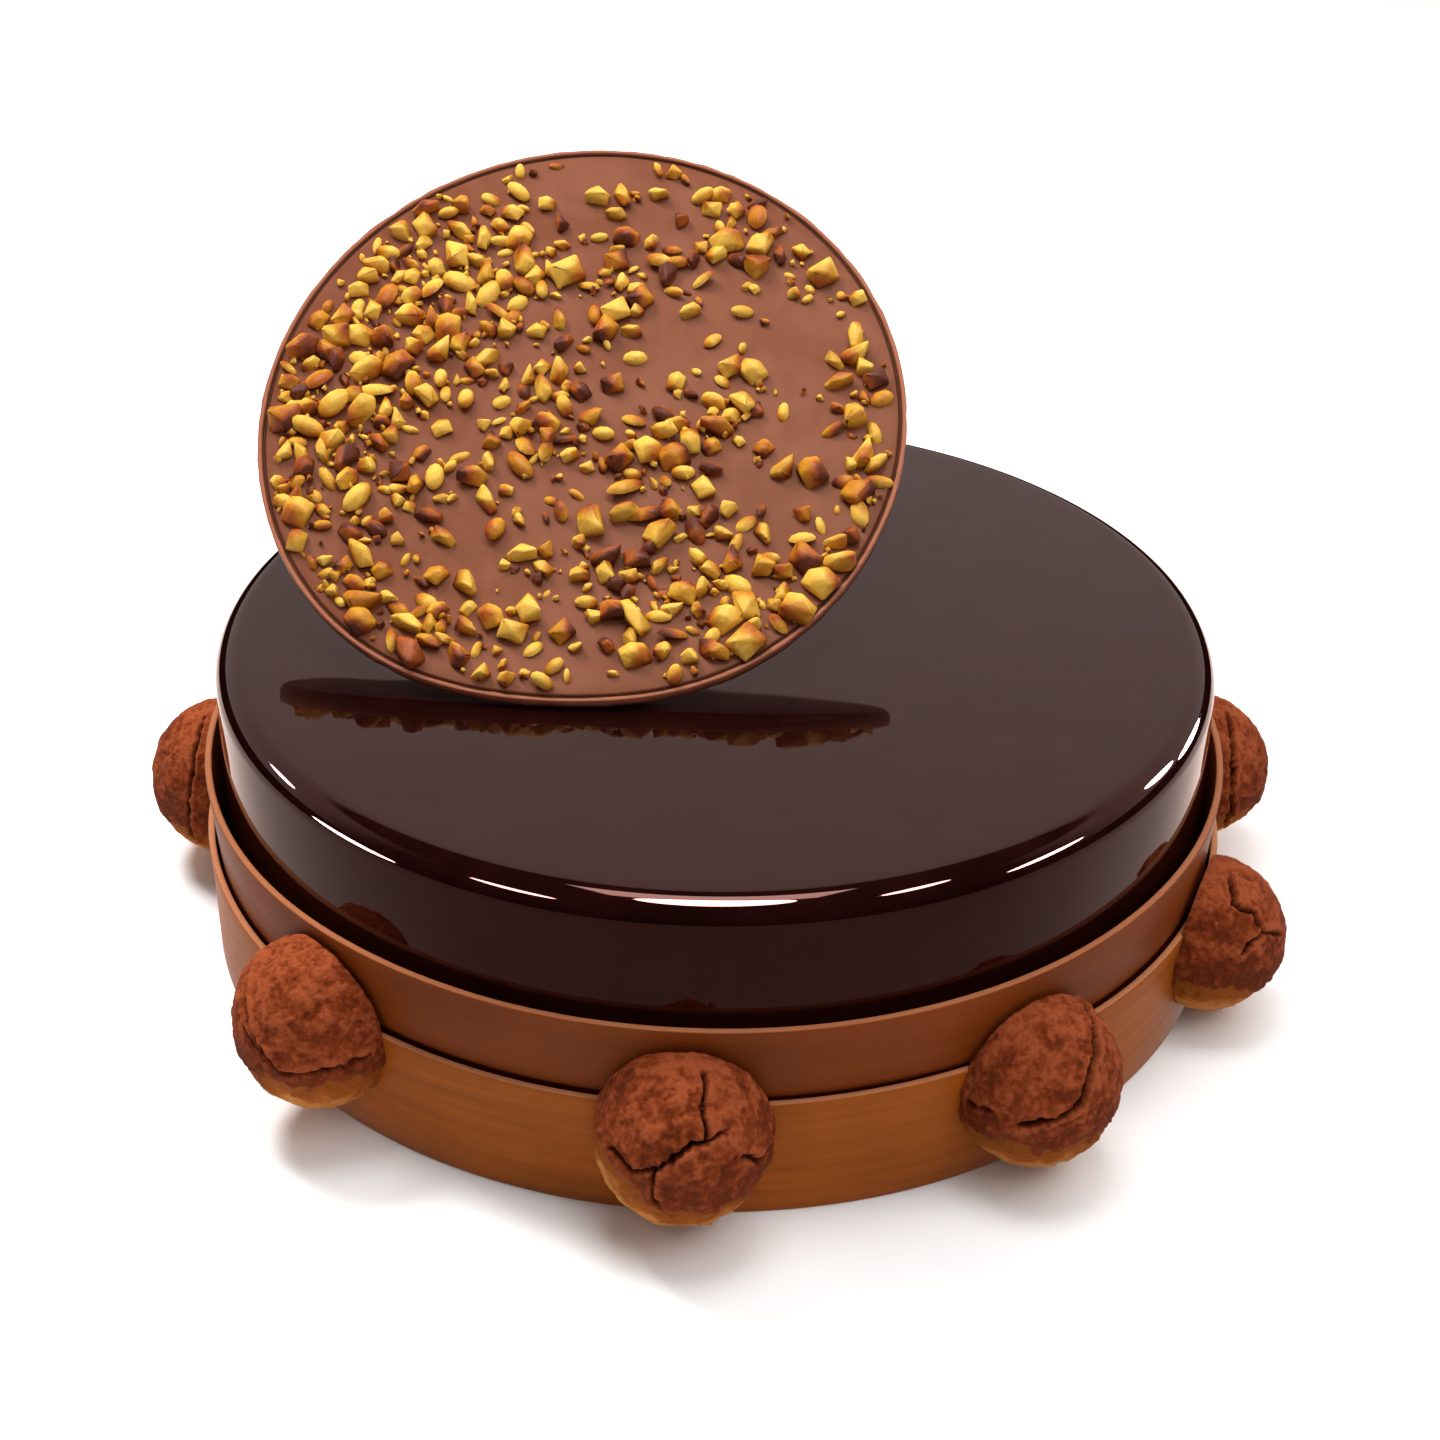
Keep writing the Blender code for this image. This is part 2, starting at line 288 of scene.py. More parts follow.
class NutSizes(bpy.types.PropertyGroup):
    """The chopped nuts on the disc."""

    nuts: IntProperty(name="Nuts", description="How many larger nuts lie on the disc", default=205)
    largest: length("Largest", "Width of the largest nut", 0.0071)
    smallest: length("Smallest", "Width of the smallest of the larger nuts", 0.0038)
    bits: IntProperty(name="Bits", description="How many bits lie between the nuts", default=320)
    largest_bit: length("Largest bit", "Width of the largest bit", 0.0050)
    smallest_bit: length("Smallest bit", "Width of the smallest bit", 0.0020)
    crumbs: IntProperty(name="Crumbs", description="How many nut crumbs lie between them", default=460)
    seed: IntProperty(name="Seed", description="Start of the random scatter", default=24)


class Finishes(bpy.types.PropertyGroup):
    """Colours of the cake's surfaces."""

    glaze: colour("Glaze", "Body of the mirror glaze", (0.0020, 0.0004, 0.0003))
    glaze_shine: colour("Glaze shine", "Tint of what the glaze mirrors", (1.0, 0.44, 0.38))
    chocolate_sheen: colour("Chocolate sheen", "Tint of the chocolate's sheen", (1.0, 0.55, 0.35))
    tall_strip: colour("Taller strip", "Chocolate of the taller strip", (0.165, 0.0325, 0.0045))
    low_strip: colour("Lower strip", "Chocolate of the lower strip", (0.280, 0.066, 0.0045))
    # Pale rims: partly bloom on the cut chocolate, partly a painted highlight on the lit top edge.
    rim_bloom_and_highlight: colour("Strip rims", "Pale rims of the strips", (0.48, 0.185, 0.085))
    cocoa: colour("Cocoa crust", "Cocoa dust on the domes", (0.173, 0.0305, 0.0080))
    # Light cocoa is cocoa rubbed thin and also painted light on knobs and the dome's top; dark cocoa is
    # darker dust and also painted shade in hollows.
    rubbed_and_lit_cocoa: colour("Light cocoa", "Where the cocoa is rubbed thin", (0.282, 0.062, 0.0205))
    dark_and_shaded_cocoa: colour("Dark cocoa", "Cocoa in the hollows", (0.103, 0.0178, 0.0052))
    # These two colours are painted bounce light: warm light thrown up onto the domes from below, dimmer
    # near the cocoa border.
    dim_bounce_light: colour("Baked edge", "Baked crust just under the cocoa", (0.28, 0.070, 0.0085))
    underside: colour("Underside", "Paler underside of the domes", (0.46, 0.176, 0.040))
    disc: colour("Disc", "Milk chocolate of the disc", (0.128, 0.038, 0.0180))
    disc_light: colour("Disc bloom", "Paler clouds on the disc", (0.172, 0.060, 0.034))
    nut_pale: colour("Pale nut", "Cut faces of the nuts", (0.68, 0.395, 0.055))
    nut_gold: colour("Golden nut", "Lightly roasted nut", (0.46, 0.195, 0.009))
    nut_roast: colour("Roasted nut", "Well roasted nut", (0.33, 0.070, 0.006))
    nut_skin: colour("Nut skin", "Brown skin on a nut", (0.085, 0.017, 0.007))


class StudioSettings(bpy.types.PropertyGroup):
    """Floor, light and camera."""

    floor_size: length("Floor size", "Side of the square floor", 9.0)
    backdrop: FloatProperty(name="Backdrop", description="Brightness of the backdrop", default=0.75)
    ceiling: FloatProperty(
        name="Ceiling", description="Brightness overhead and behind the camera", default=0.02
    )
    camera_place: FloatVectorProperty(
        name="Camera place", description="Where the camera stands", subtype="TRANSLATION",
        default=(0.0, -0.49193, 0.34352),
    )
    tilt: angle("Tilt", "How far the camera looks down", 31.167)
    pan: angle("Pan", "How far the camera looks to the right", 0.146)
    roll: angle("Roll", "How far the camera is rolled", 0.844)
    lens: FloatProperty(name="Lens", description="Focal length in millimetres", default=60.27)


class TorteSettings(bpy.types.PropertyGroup):
    """All settings of the torte."""

    cake: PointerProperty(type=CakeSizes, name="Cake", description="Sizes of the cake")
    strips: PointerProperty(type=StripSizes, name="Strips", description="Sizes of the strips")
    domes: PointerProperty(type=DomeSizes, name="Domes", description="Sizes of the domes")
    disc: PointerProperty(type=DiscSizes, name="Disc", description="Sizes of the disc")
    nuts: PointerProperty(type=NutSizes, name="Nuts", description="Sizes of the nuts")
    finishes: PointerProperty(type=Finishes, name="Finishes", description="Colours")
    studio: PointerProperty(type=StudioSettings, name="Studio", description="Light and camera")


class Value:
    """A number that varies over a surface. A sum on it adds a Math node."""

    def __init__(self, finish, socket):
        self.finish = finish
        self.socket = socket

    def sum(self, operation, first, second):
        return self.finish.number("Math", {"operation": operation}, {0: first, 1: second})

    def __add__(self, other):
        return self.sum("ADD", self, other)

    def __radd__(self, other):
        return self.sum("ADD", other, self)

    def __sub__(self, other):
        return self.sum("SUBTRACT", self, other)

    def __rsub__(self, other):
        return self.sum("SUBTRACT", other, self)

    def __mul__(self, other):
        return self.sum("MULTIPLY", self, other)

    def __rmul__(self, other):
        return self.sum("MULTIPLY", other, self)

    def between(self, low, high):
        """0 below low, 1 above high, and smooth between them."""
        settings = {"interpolation_type": "SMOOTHSTEP"}
        sockets = {"Value": self, "From Min": low, "From Max": high}
        return self.finish.number("MapRange", settings, sockets)


class Finish:
    """A material, or the backdrop's shader, put together from nodes."""

    def __init__(self, owner):
        owner.use_nodes = True
        self.owner = owner
        self.tree = owner.node_tree
        self.tree.nodes.clear()

    def put(self, kind, settings=None, sockets=None):
        """Adds a node: its settings first, then the values or links of its sockets."""
        node = self.tree.nodes.new("ShaderNode" + kind)
        for name, value in (settings or {}).items():
            if name == "stops":
                self.set_stops(node.color_ramp.elements, value)
            else:
                setattr(node, name, value)
        for name, value in (sockets or {}).items():
            self.feed(node.inputs[name], value)
        return node

    def set_stops(self, elements, stops):
        while len(elements) < len(stops):
            elements.new(1.0)
        for element, (place, shade) in zip(elements, stops):
            element.position = place
            element.color = (*shade, 1.0)

    def feed(self, socket, value):
        if isinstance(value, Value):
            value = value.socket
        if isinstance(value, bpy.types.NodeSocket):
            self.tree.links.new(value, socket)
        elif socket.type == "RGBA" and len(value) == 3:
            socket.default_value = (*value, 1.0)
        else:
            socket.default_value = value

    def number(self, kind, settings=None, sockets=None):
        return Value(self, self.put(kind, settings, sockets).outputs[0])

    def attribute(self, name):
        return Value(self, self.put("Attribute", {"attribute_name": name}).outputs["Fac"])

    def place(self, stretch=(1.0, 1.0, 1.0)):
        """The point on the surface, drawn out where stretch is small."""
        point = self.put("TexCoord").outputs["Object"]
        return self.put("Mapping", None, {"Vector": point, "Scale": stretch}).outputs[0]

    def grain(self, size, detail=3.0, rough=0.55, stretch=(1.0, 1.0, 1.0), warp=0.0):
        """Clouds of about this size in metres, from 0 to 1."""
        sockets = {"Vector": self.place(stretch), "Scale": 1.0 / size, "Detail": detail}
        sockets.update({"Roughness": rough, "Distortion": warp})
        return self.number("TexNoise", None, sockets)

    def ramp(self, value, stops):
        return self.put("ValToRGB", {"stops": stops}, {0: value}).outputs[0]

    def blend(self, factor, first, second, how="MIX"):
        settings = {"data_type": "RGBA", "blend_type": how}
        return self.put("Mix", settings, {0: factor, 6: first, 7: second}).outputs[2]

    def bump(self, height, depth, below=None):
        sockets = {"Height": height, "Distance": depth}
        if below is not None:
            sockets["Normal"] = below
        return self.put("Bump", None, sockets).outputs[0]

    def surface(self, **sockets):
        sockets = {name.replace("_", " "): value for name, value in sockets.items()}
        shader = self.put("BsdfPrincipled", None, sockets).outputs[0]
        self.put("OutputMaterial", None, {"Surface": shader})
        return self.owner


def mirror_glaze(finishes):
    """Dark chocolate glaze that mirrors its surroundings."""
    finish = Finish(bpy.data.materials.new("mirror_glaze"))
    swell = finish.grain(0.038, detail=1.0)
    depth = finish.grain(0.012, detail=2.0)
    body = finish.blend(depth.between(0.3, 0.7), finishes.glaze, [1.5 * c for c in finishes.glaze])
    return finish.surface(
        Base_Color=body,
        Roughness=0.018 + 0.024 * finish.grain(0.009, detail=4.0),
        IOR=1.45,
        Specular_IOR_Level=0.62,
        Specular_Tint=finishes.glaze_shine,
        Normal=finish.bump(swell, 0.00022),
    )


def strip_chocolate(name, finishes, shade, streak, strength, rim, painted_shadow_top=-1.0):
    """Thin satin chocolate, combed along its length, with a cut rim this much paler, partly from bloom on
    the cut edge and partly as a painted highlight.

    Painted shadow darkens it in the gap behind the lower strip, up to just above this height.
    """
    finish = Finish(bpy.data.materials.new(name))
    along = (0.045, 0.045, 1.0)
    combed = finish.grain(streak, detail=4.0, stretch=along)
    fine = finish.grain(streak * 0.4, detail=3.0, stretch=(0.02, 0.02, 1.0))
    clouds = finish.grain(0.028, detail=3.0)
    dark = [0.66 * c for c in shade]
    light = [1.34 * c for c in shade]
    tone = 0.5 + strength * (combed - 0.5) + 0.5 * strength * (fine - 0.5) + 0.7 * (clouds - 0.5)
    body = finish.ramp(tone, ((0.1, dark), (0.5, shade), (0.9, light)))
    height = Value(finish, finish.put("SeparateXYZ", None, {0: finish.place()}).outputs["Z"])
    # Painted shadow: below this height the chocolate turns nearly black, as shade in the gap between the
    # strips.
    outside_painted_shadow = height.between(painted_shadow_top - 0.0003, painted_shadow_top + 0.0004)
    body = finish.blend(outside_painted_shadow, [0.22 * shade[0], 0.1 * shade[1], 0.1 * shade[2]], body)
    relief = finish.bump(combed, 0.00016 * strength)
    return finish.surface(
        # The rim is blended paler: partly bloom, partly a painted highlight where light catches the top
        # edge.
        Base_Color=finish.blend(rim * finish.attribute("rim"), body, finishes.rim_bloom_and_highlight),
        Roughness=0.44 + 0.16 * (fine - 0.5) + 0.1 * (clouds - 0.5),
        IOR=1.46,
        Specular_IOR_Level=0.26,
        Specular_Tint=finishes.chocolate_sheen,
        Normal=finish.bump(fine, 0.00005, relief),
    )


def cocoa_crust(finishes):
    """Baked crust under cocoa dust: matt and mottled, with painted shade in its cracks and a paler
    underside painted as warm light bounced up from below.
    """
    finish = Finish(bpy.data.materials.new("cocoa_crust"))
    blotch = finish.grain(0.0034, detail=4.0, rough=0.6)
    dust = finish.grain(0.0009, detail=3.0, rough=0.65)
    # Painted shade and light: the height mark darkens hollows and wrinkles and lightens knobs, lips and
    # the dome's top; part of it is cocoa rubbed thin.
    height = finish.attribute("height")
    tone = 0.5 * blotch + 0.55 * dust + 0.7 * (height - 0.5)
    stops = (
        (0.30, finishes.dark_and_shaded_cocoa),
        (0.50, finishes.cocoa),
        (0.76, finishes.rubbed_and_lit_cocoa),
    )
    crust = finish.ramp(tone, stops)
    # Painted bounce light: below the cocoa border the crust turns paler and more golden further down, as
    # warm light thrown up from beneath.
    bounce_light_stops = (
        (0.25, [0.8 * c for c in finishes.dim_bounce_light]),
        (0.50, finishes.dim_bounce_light),
        (0.80, finishes.underside),
    )
    dim_bounce_light = finish.ramp(0.45 * blotch + 0.55 * finish.attribute("bare"), bounce_light_stops)
    body = finish.blend(finish.attribute("underside"), crust, dim_bounce_light)
    # Painted shade: the cracks are darkened to near black.
    dark = finish.attribute("crack")
    pits = finish.bump(dust, 0.0004)
    return finish.surface(
        Base_Color=finish.blend(dark, body, (0.022, 0.005, 0.002)),
        Roughness=0.82 + 0.15 * dust,
        Specular_IOR_Level=0.2,
        Specular_Tint=finishes.chocolate_sheen,
        Normal=finish.bump(blotch, 0.0007, pits),
    )


def disc_chocolate(finishes):
    """Milk chocolate with faint pale clouds and a soft sheen."""
    finish = Finish(bpy.data.materials.new("disc_chocolate"))
    clouds = finish.grain(0.022, detail=4.0, warp=0.6)
    smears = finish.grain(0.006, detail=4.0, stretch=(1.0, 0.3, 1.0))
    tone = 0.6 * clouds + 0.4 * smears
    body = finish.blend(tone.between(0.35, 0.68), finishes.disc, finishes.disc_light)
    # Painted shade: the groove and the disc's side wall are darkened, down to 0.3 of the chocolate.
    body = finish.blend(finish.attribute("groove"), body, [0.3 * c for c in finishes.disc])
    # Painted highlight: the lip is blended towards a colour much paler than the disc, as light catching
    # it.
    rim = finish.attribute("rim")
    return finish.surface(
        Base_Color=finish.blend(0.75 * rim, body, [1.7 * c for c in finishes.disc_light]),
        Roughness=0.42 + 0.2 * (smears - 0.5),
        IOR=1.46,
        Specular_IOR_Level=0.3,
        Specular_Tint=finishes.chocolate_sheen,
        Normal=finish.bump(smears, 0.00018),
    )


def roasted_nut(finishes):
    """Chopped nut: pale yellow where it is cut, golden to brown where it is roasted."""
    finish = Finish(bpy.data.materials.new("roasted_nut"))
    patches = finish.grain(0.0026, detail=3.0)
    flecks = finish.grain(0.0008, detail=2.0)
    tone = finish.attribute("roast") + 0.5 * (patches - 0.5) + 0.16 * (flecks - 0.5)
    stops = (
        (0.02, finishes.nut_pale),
        (0.30, finishes.nut_gold),
        (0.56, finishes.nut_roast),
        (0.82, finishes.nut_skin),
    )
    return finish.surface(
        Base_Color=finish.ramp(tone, stops),
        Roughness=0.36 + 0.25 * patches,
        Specular_IOR_Level=0.45,
        Normal=finish.bump(flecks, 0.00016),
    )


def select_only(piece):
    bpy.ops.object.select_all(action="DESELECT")
    piece.select_set(True)
    bpy.context.view_layer.objects.active = piece


@contextmanager
def edit_mode(piece):
    """Edit mode on this piece alone, with nothing selected in it."""
    select_only(piece)
    bpy.ops.object.mode_set(mode="EDIT")
    bpy.ops.mesh.select_all(action="DESELECT")
    yield
    bpy.ops.object.mode_set(mode="OBJECT")


def pick(piece, kind, passes):
    """Selects the faces, edges or points that pass, and no others."""
    bpy.ops.mesh.select_mode(type=kind)
    sheet = bmesh.from_edit_mesh(piece.data)
    parts = {"FACE": sheet.faces, "EDGE": sheet.edges, "VERT": sheet.verts}[kind]
    for part in parts:
        part.select_set(bool(passes(part)))
    if kind == "VERT":
        sheet.select_flush(True)
    bmesh.update_edit_mesh(piece.data)


def pick_faces(piece, test):
    """Selects the faces that pass the test on their middle and normal."""
    pick(piece, "FACE", lambda face: test(face.calc_center_median(), face.normal))


def pick_edges(piece, test):
    """Selects the edges whose two ends both pass the test."""
    pick(piece, "EDGE", lambda edge: all(test(end.co) for end in edge.verts))


def stretch(value):
    """Scales all of the piece in edit mode."""
    bpy.ops.mesh.select_all(action="SELECT")
    bpy.ops.transform.resize(value=value)


def slice_through(place, slope, **how):
    """Cuts all of the piece in edit mode along a plane."""
    bpy.ops.mesh.select_all(action="SELECT")
    bpy.ops.mesh.bisect(plane_co=place, plane_no=slope, **how)


def settle():
    """Puts the active piece's place into its mesh."""
    bpy.ops.object.transform_apply(location=True, rotation=True, scale=True)


def new_piece(name):
    """Names the primitive just added and settles it."""
    piece = bpy.context.object
    piece.name = piece.data.name = name
    settle()
    return piece


def finish_with(piece, kind, **settings):
    """Adds a modifier with these settings and applies it."""
    select_only(piece)
    modifier = piece.modifiers.new(kind.title(), kind)
    for name, value in settings.items():
        setattr(modifier, name, value)
    bpy.ops.object.modifier_apply(modifier=modifier.name)


def soften(piece, width, segments, degrees):
    """Rounds the edges that are sharper than this."""
    finish_with(
        piece, "BEVEL", width=width, segments=segments, limit_method="ANGLE",
        angle_limit=math.radians(degrees),
    )


def weigh(piece, name, weights):
    """Paints a vertex group with these weights, one for each vertex."""
    group = piece.vertex_groups.new(name=name)
    for index, weight in enumerate(weights):
        group.add([index], float(weight), "REPLACE")


def mark(piece, name, values):
    """Keeps a number for each vertex, for a material to read."""
    layer = piece.data.attributes.new(name, "FLOAT", "POINT")
    layer.data.foreach_set("value", np.asarray(values, np.float32))


def smooth(piece, degrees):
    select_only(piece)
    bpy.ops.object.shade_smooth_by_angle(angle=math.radians(degrees))


def hand_over(piece, material, slot, *nodes):
    """Gives a finished piece its material, hides the solids it stands for and hangs it under the root. The
    slot is not used.
    """
    piece.data.materials.clear()
    piece.data.materials.append(material)
    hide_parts(*nodes)
    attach(piece, "root")


def points_of(piece):
    points = np.empty(len(piece.data.vertices) * 3)
    piece.data.vertices.foreach_get("co", points)
    return points.reshape(-1, 3)


def build_cake(sizes, finishes):
    """The cake under its glaze: a tapered drum with a rounded edge."""
    bpy.ops.mesh.primitive_cylinder_add(
        vertices=sizes.sides, radius=sizes.foot_radius, depth=sizes.height,
        location=(0, 0, sizes.height / 2),
    )
    cake = new_piece("glaze")
    narrow = sizes.shoulder_radius / sizes.foot_radius
    with edit_mode(cake):
        pick_faces(cake, lambda middle, normal: normal.z > 0.9)
        bpy.ops.transform.resize(value=(narrow, narrow, 1), center_override=(0, 0, sizes.height))
        pick_edges(cake, lambda point: point.z > sizes.height - 1e-5)
        bpy.ops.mesh.bevel(offset=sizes.edge_radius, segments=16, profile=0.5, affect="EDGES")
        pick_edges(cake, lambda point: point.z < 1e-5)
        bpy.ops.mesh.bevel(offset=0.0008, segments=3, profile=0.5, affect="EDGES")
        for level in (0.2, 0.4, 0.6, 0.8):
            slice_through((0, 0, level * sizes.height), (0, 0, 1))
        for step in (0.003, 0.02, 0.03):
            pick_faces(cake, lambda middle, normal: abs(normal.z) > 0.999 and middle.xy.length < 0.02)
            bpy.ops.mesh.inset(thickness=step)
    smooth(cake, 40)
    hand_over(cake, mirror_glaze(finishes), "dark_glaze", "glazed_cake")


def worn(x, y, seed):
    """How much of a strip's rim has worn away at this place, from 0 to 1."""
    turn = math.atan2(y, x)
    place = Vector((1.7 * math.cos(turn), 1.7 * math.sin(turn), 300 * seed))
    return min(max(0.5 + 0.9 * noise.noise(place), 0.0), 1.0)


def build_strip(name, radius, height, flare_from, flare, sizes):
    """A standing ring of thin chocolate. Its outside leans out above flare_from."""
    bpy.ops.mesh.primitive_cylinder_add(
        vertices=224, radius=radius, depth=height, end_fill_type="NOTHING",
        location=(0, 0, height / 2),
    )
    strip = new_piece(name)
    with edit_mode(strip):
        for level in (0.25 * height, 0.5 * height, 0.75 * height, flare_from):
            if level < height:
                slice_through((0, 0, level), (0, 0, 1))
        for level in sorted({0.75 * height, height}):
            reach = max(0.0, (level - flare_from) / max(height - flare_from, 1e-6))
            pick(strip, "VERT", lambda point: abs(point.co.z - level) < 1e-5)
            wider = 1 + flare * reach / radius
            bpy.ops.transform.resize(value=(wider, wider, 1), center_override=(0, 0, level))
    points = points_of(strip)
    weigh(strip, "uneven", [worn(x, y, height) * (z > 0.9 * height) for x, y, z in points])
    finish_with(
        strip, "DISPLACE", vertex_group="uneven", direction="Z", strength=-RIM_WEAR, mid_level=0.0
    )
    finish_with(strip, "SOLIDIFY", thickness=sizes.thickness, offset=-1.0, use_even_offset=True)
    soften(strip, 0.0005, 3, 50)
    # Marks the worn top edge, which the material paints paler, partly as bloom and partly as a painted
    # highlight.
    rim = [z > height - RIM_WEAR * worn(x, y, height) - 0.0002 for x, y, z in points_of(strip)]
    mark(strip, "rim", rim)
    strip.vertex_groups.clear()
    smooth(strip, 50)
    return strip


def build_strips(sizes, finishes):
    """The taller strip against the cake and the lower one outside it."""
    tall_radius = sizes.low_radius - sizes.thickness - sizes.gap
    tall = build_strip(
        "tall_chocolate_strip", tall_radius, sizes.tall_height, sizes.low_height, sizes.flare, sizes
    )
    low = build_strip(
        "low_chocolate_strip", sizes.low_radius, sizes.low_height, 0.7 * sizes.low_height,
        sizes.low_flare, sizes,
    )
    dark = strip_chocolate(
        "tall_strip_chocolate", finishes, finishes.tall_strip, 0.0035, 0.45, 0.58, sizes.low_height
    )
    brown = strip_chocolate(
        "low_strip_chocolate", finishes, finishes.low_strip, 0.0022, 0.8, 1.0
    )
    hand_over(tall, dark, "dark_strip_chocolate", "tall_strip")
    hand_over(low, brown, "brown_strip_chocolate", "low_strip")


def on_dome(across, up):
    """The point of a unit dome at these degrees across and up, with its face towards -Y."""
    across, up = math.radians(across), math.radians(up)
    flat = math.cos(up)
    return np.array((flat * math.sin(across), -flat * math.cos(across), math.sin(up)))


def wandering_cracks(rng, count):
    """Cracks for a dome that is out of sight: each wanders off from a random start."""
    cracks = []
    for _ in range(count):
        place = [rng.uniform(-60, 60), rng.uniform(0, 65)]
        heading = rng.uniform(0, math.tau)
        line = [tuple(place)]
        for _ in range(rng.randint(3, 6)):
            heading += rng.uniform(-0.7, 0.7)
            place = [place[0] + 15 * math.cos(heading), place[1] + 11 * math.sin(heading)]
            line.append(tuple(place))
        cracks.append((rng.uniform(0.7, 1.3), line))
    return cracks


def crack_profile(points, cracks, scale, width):
    """How near each point is to a crack: 1 in it, 0 away.

    With it comes how much the crack's lips rise, the one on its right the most.
    """
    crack = np.zeros(len(points))
    lips = np.zeros(len(points))
    for strength, line in cracks:
        nearest = np.full(len(points), 9.0)
        side = np.zeros(len(points))
        ends = [on_dome(*place) for place in line]
        for start, end in zip(ends, ends[1:]):
            along = end - start
            reach = np.clip((points - start) @ along / (along @ along), 0, 1)
            closest = start + reach[:, None] * along
            closest /= np.linalg.norm(closest, axis=1)[:, None]
            here = np.linalg.norm(points - closest, axis=1)
            side = np.where(here < nearest, points @ np.cross(start, end) > 0, side)
            nearest = np.minimum(nearest, here)
        gap = nearest * scale
        crack = np.maximum(crack, strength * np.exp(-((gap / width) ** 2)))
        lip = np.exp(-(((gap - 2.2 * width) / (1.4 * width)) ** 2)) * (0.35 + 0.65 * side)
        plate = 0.6 * np.exp(-gap / (7 * width)) * side
        lips = np.maximum(lips, strength * (lip + plate * (gap > width)))
    return crack, lips


def dome_relief(directions, name, cracks, border, sizes, scale):
    """The crust's height over each vertex, in metres, with what its colours need."""
    noise.seed_set(CRUST_SEED)
    shift = Vector([random.Random(name).uniform(-40, 40) for _ in range(3)])
    warped, lumps, knobs, grain, wrinkle = [], [], [], [], []
    for direction in directions:
        point = Vector(direction)
        bent = point + 0.045 * noise.noise_vector(5.0 * point + shift)
        warped.append(bent + 0.022 * noise.noise_vector(15.0 * point + shift))
        lumps.append(noise.noise(2.6 * point + shift))
        knobs.append(noise.noise(6.5 * bent + shift))
        grain.append(noise.noise(15.0 * point + shift) + 0.5 * noise.noise(31.0 * point + shift))
        wrinkle.append(noise.turbulence(3.1 * bent + shift, 4, False))
    warped, lumps, knobs, grain = map(np.array, (warped, lumps, knobs, grain))
    wrinkle = np.clip(1 - np.array(wrinkle) / 0.2, 0, 1) * np.clip(2.2 * lumps + 0.3, 0, 1)
    crack, lips = crack_profile(warped, cracks, scale, sizes.crack_width)
    across = np.degrees(np.arctan2(directions[:, 0], -directions[:, 1]))
    up = np.degrees(np.arcsin(np.clip(directions[:, 2], -1, 1)))
    edge = up - np.interp(across, *zip(*border)) + 7 * lumps + 7 * knobs + 2.5 * grain
    cap = 1 / (1 + np.exp(-edge / 1.3))
    rim = np.exp(-((edge / 4.0) ** 2))
    layers = {
        "lumps": lumps, "knobs": knobs, "grain": grain, "cap": cap, "lips": lips,
        "wrinkle": wrinkle, "rim": rim,
    }
    relief = sum(RELIEF[layer] * amount for layer, amount in layers.items())
    relief -= sizes.crack_depth * crack
    # The height mark is low in hollows and wrinkles and high on knobs and lips; the material turns it into
    # painted shade and paler, rubbed cocoa.
    height = 0.33 + 0.3 * knobs + 0.34 * grain + 0.25 * lips - 0.3 * wrinkle
    marks = {
        # crack marks where the material paints shade into the cracks.
        "crack": np.clip(crack * 1.15 - 0.1, 0, 1),
        # These two mark where painted bounce light takes over below the cocoa border, and how far below
        # it.
        "underside": 1 - cap,
        "bare": np.clip((-edge - 7) / 19, 0, 1),
        # Adding the upward direction paints the dome's top lighter, as light from above.
        "height": np.clip(height + 0.44 * directions[:, 2], 0, 1),
    }
    return relief, marks


def build_crust(name, radii, cracks, border, sizes):
    """A ball of cracked crust round the origin, with its face towards -Y."""
    fineness = sizes.fineness - 2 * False
    bpy.ops.mesh.primitive_ico_sphere_add(subdivisions=fineness, radius=1)
    dome = new_piece(name)
    directions = points_of(dome)
    directions /= np.linalg.norm(directions, axis=1)[:, None]
    with edit_mode(dome):
        stretch([r - CRUST_ROOM for r in radii])
    relief, marks = dome_relief(directions, name, cracks, border, sizes, radii[0])
    lowest, highest = relief.min(), relief.max()
    weigh(dome, "relief", (relief - lowest) / (highest - lowest))
    for mark_name, values in marks.items():
        mark(dome, mark_name, values)
    # The weight runs from 0 to 1, so a share of it stands for the crust's own surface.
    finish_with(
        dome, "DISPLACE", vertex_group="relief", direction="NORMAL",
        strength=highest - lowest, mid_level=0.0,
    )
    with edit_mode(dome):
        stretch([(r + lowest) / r for r in radii])
    dome.vertex_groups.clear()
    return dome


def build_domes(sizes, finishes, strip_radius):
    """The domes, each cut at its back to fit the strip it clings to."""
    crust = cocoa_crust(finishes)
    bpy.ops.mesh.primitive_cylinder_add(
        vertices=256, radius=strip_radius + 0.0001, depth=0.2, location=(0, 0, 0)
    )
    strip_shape = new_piece("strip_shape")
    for node, (turn, height, half_width, half_height) in DOMES.items():
        cracks = CRACKS.get(node) or wandering_cracks(random.Random(node), 3)
        radii = (half_width * MM, sizes.depth, half_height * MM)
        border = BORDERS.get(node, USUAL_BORDER)
        dome = build_crust("crust_" + node, radii, cracks, border, sizes)
        turned = Matrix.Rotation(math.radians(turn), 4, "Z")
        dome.matrix_world = turned @ Matrix.Translation((0, -sizes.reach, height * MM))
        settle()
        finish_with(dome, "BOOLEAN", object=strip_shape, operation="DIFFERENCE", solver="MANIFOLD")
        smooth(dome, 60)
        hand_over(dome, crust, "cocoa_crust", node)
    bpy.data.objects.remove(strip_shape)


